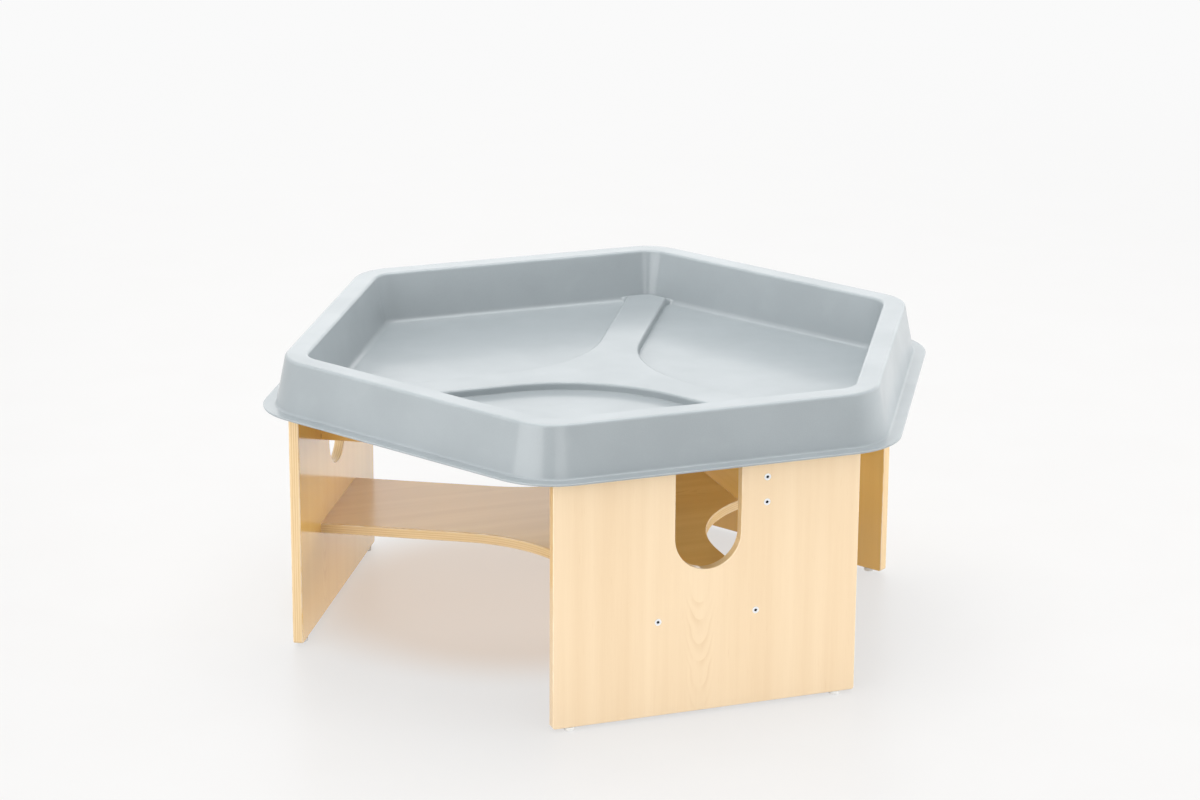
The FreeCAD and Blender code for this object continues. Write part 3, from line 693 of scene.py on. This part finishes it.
# The socket's dark colour is painted shade, with the soot and grease of a real socket.
SOCKET_FROM, SOCKET_TO, SOCKET_SHADE_AND_GRIME = 0.0002, 0.0010, (0.03, 0.05, 0.07, 1)
for leg, leg_turn in LEG_TURNS.items():
    screw_name = f"zinc_screws_{leg}"
    finish, tree, face, group = satin_finish(screw_name, ZINC_BASE, ZINC_SHADE, *ZINC_LOOK)
    face.inputs["Metallic"].default_value = 0.5
    turned = make_node(tree, "ShaderNodeMapping", {"Rotation": (0, 0, -leg_turn)})
    tree.links.new(tree.nodes["Texture Coordinate"].outputs["Object"], turned.inputs["Vector"])
    inward = make_node(tree, "ShaderNodeSeparateXYZ", {0: turned.outputs[0]}).outputs["Y"]
    deep = span(tree, inward, HEAD_FACE + SOCKET_FROM, HEAD_FACE + SOCKET_TO)
    # Painted shade: deeper than the head's face the colour turns dark.
    socket_shade_and_grime = blend(tree, deep, group.outputs["Color"], SOCKET_SHADE_AND_GRIME)
    tree.links.new(socket_shade_and_grime, face.inputs["Base Color"])
    dress(f"rail_screws_{leg}", finish)
    dress(f"shelf_screws_{leg}", finish)
print("screws dressed on", len(LEG_TURNS), "legs")

# %% [markdown]
# ## Plywood
# The boards are 15 mm plywood with a pale face veneer under clear lacquer. Veneer is peeled or
# sliced from a trunk, so its figure is where growth rings meet the cut: nested arches where the
# cut grazes the rings, and straight lines beside them. The cut edges show the plies in stripes. A
# picture could be wrapped on, but it would break at the edges. Here the figure is worked out
# inside the board, so that faces, rounded edges and the notch all cut through one piece of wood.

# %% The board's own coordinates
plywood, given, made = new_group(
    "plywood",
    [("Board", "Vector", (0, 0, 0)), ("Heart", "Float", 0.0), ("Drift", "Float", 0.0),
     ("Contrast", "Float", 1.0), ("Outer Painted Shade", "Float", 0.0), ("Inner Painted Shade", "Float", 0.0)],
    [("Color", "Color"), ("Roughness", "Float"), ("Height", "Float")])
board = make_node(plywood, "ShaderNodeSeparateXYZ", {0: given["Board"]}).outputs


def stretched(across, thick, along):
    """Noise coordinates of the board: across the grain, through the board and along the grain,
    each by its own factor, with the board's own drift along the grain."""
    drifted = calc(plywood, "ADD", board["Z"], given["Drift"])
    return make_node(plywood, "ShaderNodeCombineXYZ", {
        "X": calc(plywood, "MULTIPLY", board["X"], across),
        "Y": calc(plywood, "MULTIPLY", board["Y"], thick),
        "Z": calc(plywood, "MULTIPLY", drifted, along)}).outputs[0]


print("group", plywood.name, "started")

# %% [markdown]
# The arches are lines of equal height less a share of the distance from the heart squared, which
# makes nested bows that open upwards. They fade out to the sides and break up here and there, as
# they do where the knife leaves the rings. Fibres, streaks and broad bands run straight along the
# grain.

# %% Arches in the face veneer
RING, ARCH_BEND, ARCH_MIDDLE = 0.034, 130.0, 0.10
wander = weigh(plywood, -0.008, (noise(plywood, stretched(14, 0, 5), 1.0, 3.0), 0.016))
aside = calc(plywood, "SUBTRACT", calc(plywood, "ADD", board["X"], wander), given["Heart"])
bow = calc(plywood, "MULTIPLY", calc(plywood, "MULTIPLY", aside, aside), -ARCH_BEND)
waver = noise(plywood, stretched(4, 0, 20), 1.0, 1.0)
uneven = weigh(plywood, board["Z"], (waver, 0.06), (bow, 1.0))
rings = calc(plywood, "FRACT", calc(plywood, "DIVIDE", uneven, RING))
darkening, ending = span(plywood, rings, 0.3, 0.92), span(plywood, rings, 1.0, 0.93)
late_wood = calc(plywood, "MULTIPLY", darkening, ending)
near_heart = span(plywood, calc(plywood, "ABSOLUTE", aside), 0.026, 0.008)
from_middle = calc(plywood, "ABSOLUTE", calc(plywood, "SUBTRACT", board["Z"], ARCH_MIDDLE))
near_middle = span(plywood, from_middle, 0.11, 0.05)
broken = span(plywood, noise(plywood, stretched(60, 0, 9), 1.0, 2.0), 0.30, 0.58)
patch = calc(plywood, "MULTIPLY", calc(plywood, "MULTIPLY", near_heart, near_middle), broken)
arches = calc(plywood, "MULTIPLY", late_wood, patch)
print("arches with rings", RING / MM, "mm apart")

# %% Fibres, streaks and bands
PALE, DEEP = (0.905, 0.715, 0.480, 1), (0.790, 0.575, 0.345, 1)
fibres = noise(plywood, stretched(900, 900, 14), 1.0, 3.0)
streaks = noise(plywood, stretched(62, 0, 1.6), 1.0, 3.0)
bands = noise(plywood, stretched(19, 0, 0.9), 1.0, 2.0)
flecks = span(plywood, noise(plywood, stretched(420, 420, 30), 1.0, 1.0), 0.66, 0.80)
figure = weigh(
    plywood, 0.0, (arches, 0.50), (span(plywood, fibres, 0.3, 0.7), 0.09), (flecks, 0.22),
    (span(plywood, streaks, 0.3, 0.7), 0.17), (span(plywood, bands, 0.3, 0.7), 0.36))
veneer = blend(plywood, calc(plywood, "MULTIPLY", figure, given["Contrast"]), PALE, DEEP)
print("veneer from", PALE[:3], "to", DEEP[:3])

# %% [markdown]
# Faces that stand in shade, inside the stand and under the tray, get painted shade: their colour
# is multiplied by a deeper amber, for the shade and the warm light bounced between the boards. Two
# inputs say how much of it the outer and the inner face carry.

# %% Painted shade, in amber, on the inner faces
PAINTED_SHADE_AMBER = (1.02, 0.80, 0.29, 1)
inside = calc(plywood, "GREATER_THAN", board["Y"], 0.0)
painted_shade_by_side = {0: inside, 2: given["Outer Painted Shade"], 3: given["Inner Painted Shade"]}
painted_shade_share = make_node(plywood, "ShaderNodeMix", painted_shade_by_side, data_type="FLOAT").outputs[0]
# Painted shade: the face colour is multiplied by a deeper amber where the face stands in shade.
face_colour = blend(plywood, painted_shade_share, veneer, PAINTED_SHADE_AMBER, "MULTIPLY")
print("painted_shade_share", PAINTED_SHADE_AMBER[:3])

# %% [markdown]
# On the cut edge, plies with the grain along and across it take turns, one paler than the other,
# and saw and sanding draw fine lines along them. The arris is rubbed paler by hands.

# %% Plies on the cut edges
PLY, FACE_VENEER, HALF_BOARD, ARRIS, FACE_BLEND = 0.00167, 0.0007, 0.0075, 0.0015, 0.0002
EDGE_PALE, EDGE_DEEP = (0.86, 0.65, 0.375, 1), (0.68, 0.455, 0.21, 1)
depth = calc(plywood, "ABSOLUTE", board["Y"])
layer = calc(plywood, "COSINE", calc(plywood, "MULTIPLY", board["Y"], math.pi / PLY))
lines = noise(plywood, stretched(20, 2600, 20), 1.0, 2.0)
stripes, saw_lines = span(plywood, layer, -0.5, 0.5), span(plywood, lines, 0.3, 0.7)
edge_tone = weigh(plywood, 0.0, (stripes, 0.5), (saw_lines, 0.5))
edge_colour = blend(plywood, edge_tone, EDGE_PALE, EDGE_DEEP)
veneer_from = HALF_BOARD - FACE_VENEER
on_face = span(plywood, depth, veneer_from, veneer_from + FACE_BLEND)
colour = blend(plywood, on_face, edge_colour, face_colour)
print("plies of", PLY / MM, "mm under veneer of", FACE_VENEER / MM, "mm")

# %% Rubbed arris and lacquer
RUBBED_WOOD, LACQUER_ROUGH = (0.92, 0.75, 0.53, 1), 0.25
arris_starts = span(plywood, depth, HALF_BOARD - ARRIS, HALF_BOARD - ARRIS / 2)
arris_ends = span(plywood, depth, HALF_BOARD, HALF_BOARD - ARRIS / 10)
on_arris = calc(plywood, "MULTIPLY", arris_starts, arris_ends)
handled = span(plywood, noise(plywood, stretched(30, 0, 30), 1.0, 3.0), 0.3, 0.6)
rub = calc(plywood, "MULTIPLY", on_arris, handled)
plywood.links.new(blend(plywood, rub, colour, RUBBED_WOOD), made["Color"])
lacquer = weigh(plywood, LACQUER_ROUGH, (fibres, 0.08), (on_face, -0.10), (rub, 0.10))
plywood.links.new(lacquer, made["Roughness"])
plywood.links.new(weigh(plywood, fibres, (arches, 0.3)), made["Height"])
print("group", plywood.name, "with", len(plywood.nodes), "nodes")


# %% [markdown]
# ## One finish for each board
# No two boards come from the same place in the trunk. One material for all would be simpler, but
# the same arches would show on every panel. So each board gets a material of its own that turns
# its part upright, puts the axes in the board's order, and moves the heart and the drift of the
# figure. The panels have the thickest lacquer, and the shelf, which toys rub, the thinnest.

# %% A finish for one board
COAT_ROUGH, PORE_DEPTH = 0.08, 0.000008


def board_finish(name, turn, shift, order, heart, drift, contrast, painted_shades, coat):
    """Plywood for one board: its part turned about Z and shifted, then its axes put in the order
    across the grain, through the board and along the grain. The coat says how thick its lacquer
    shows."""
    finish, tree, face, place = new_finish(name)
    settings = {"Vector": place, "Location": shift, "Rotation": (0, 0, -turn)}
    turned = make_node(tree, "ShaderNodeMapping", settings)
    axes = make_node(tree, "ShaderNodeSeparateXYZ", {0: turned.outputs[0]}).outputs
    reordered = dict(zip("XYZ", [axes[axis] for axis in order]))
    lined_up = make_node(tree, "ShaderNodeCombineXYZ", reordered)
    group = make_node(tree, "ShaderNodeGroup", node_tree=plywood)
    tree.links.new(lined_up.outputs[0], group.inputs["Board"])
    labels = ("Heart", "Drift", "Contrast", "Outer Painted Shade", "Inner Painted Shade")
    for label, value in zip(labels, (heart, drift, contrast, *painted_shades)):
        group.inputs[label].default_value = value
    tree.links.new(group.outputs["Color"], face.inputs["Base Color"])
    tree.links.new(group.outputs["Roughness"], face.inputs["Roughness"])
    face.inputs["Coat Weight"].default_value = coat
    face.inputs["Coat Roughness"].default_value = COAT_ROUGH
    pores = {"Height": group.outputs["Height"], "Distance": PORE_DEPTH}
    bump = make_node(tree, "ShaderNodeBump", pores)
    tree.links.new(bump.outputs[0], face.inputs["Normal"])
    return finish


print("board finish ready")


# %% Panels, rails and shelf
# Contrast of the figure, painted shade on the outer and the inner face, and the lacquer's coat.
PANEL_LOOK, RAIL_LOOK = (1.0, (0.0, 1.0), 0.85), (1.6, (1.0, 1.0), 0.2)
SHELF_LOOK, SHELF_HEART, SHELF_DRIFT = (1.5, (0.9, 0.78), 0.1), 0.06, 9.3
panel_low, panel_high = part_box("leg_panel_front")
rail_low, rail_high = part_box("top_rail_front")
shelf_low, shelf_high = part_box("shelf")
panel_shift = (0, -(panel_low.y + panel_high.y) / 2, 0)
rail_shift = (-(rail_low.x + rail_high.x) / 2, 0, -rail_low.z)
shelf_shift = (0, 0, -(shelf_low.z + shelf_high.z) / 2)
for number, (leg, leg_turn) in enumerate(LEG_TURNS.items()):
    panel_heart, panel_drift = -0.011 + 0.05 * number, 1.7 * number
    rail_heart, rail_drift = 0.03 * number, 4.1 + 1.3 * number
    panel = board_finish(f"panel_veneer_{leg}", leg_turn, panel_shift, "XYZ",
                         panel_heart, panel_drift, *PANEL_LOOK)
    rail = board_finish(f"rail_veneer_{leg}", leg_turn, rail_shift, "ZXY",
                        rail_heart, rail_drift, *RAIL_LOOK)
    dress(f"leg_panel_{leg}", panel)
    dress(f"top_rail_{leg}", rail)
shelf_veneer = board_finish("shelf_veneer", 0, shelf_shift, "YZX",
                            SHELF_HEART, SHELF_DRIFT, *SHELF_LOOK)
dress("shelf", shelf_veneer)
print("finishes", sorted(material.name for material in bpy.data.materials if material.users))
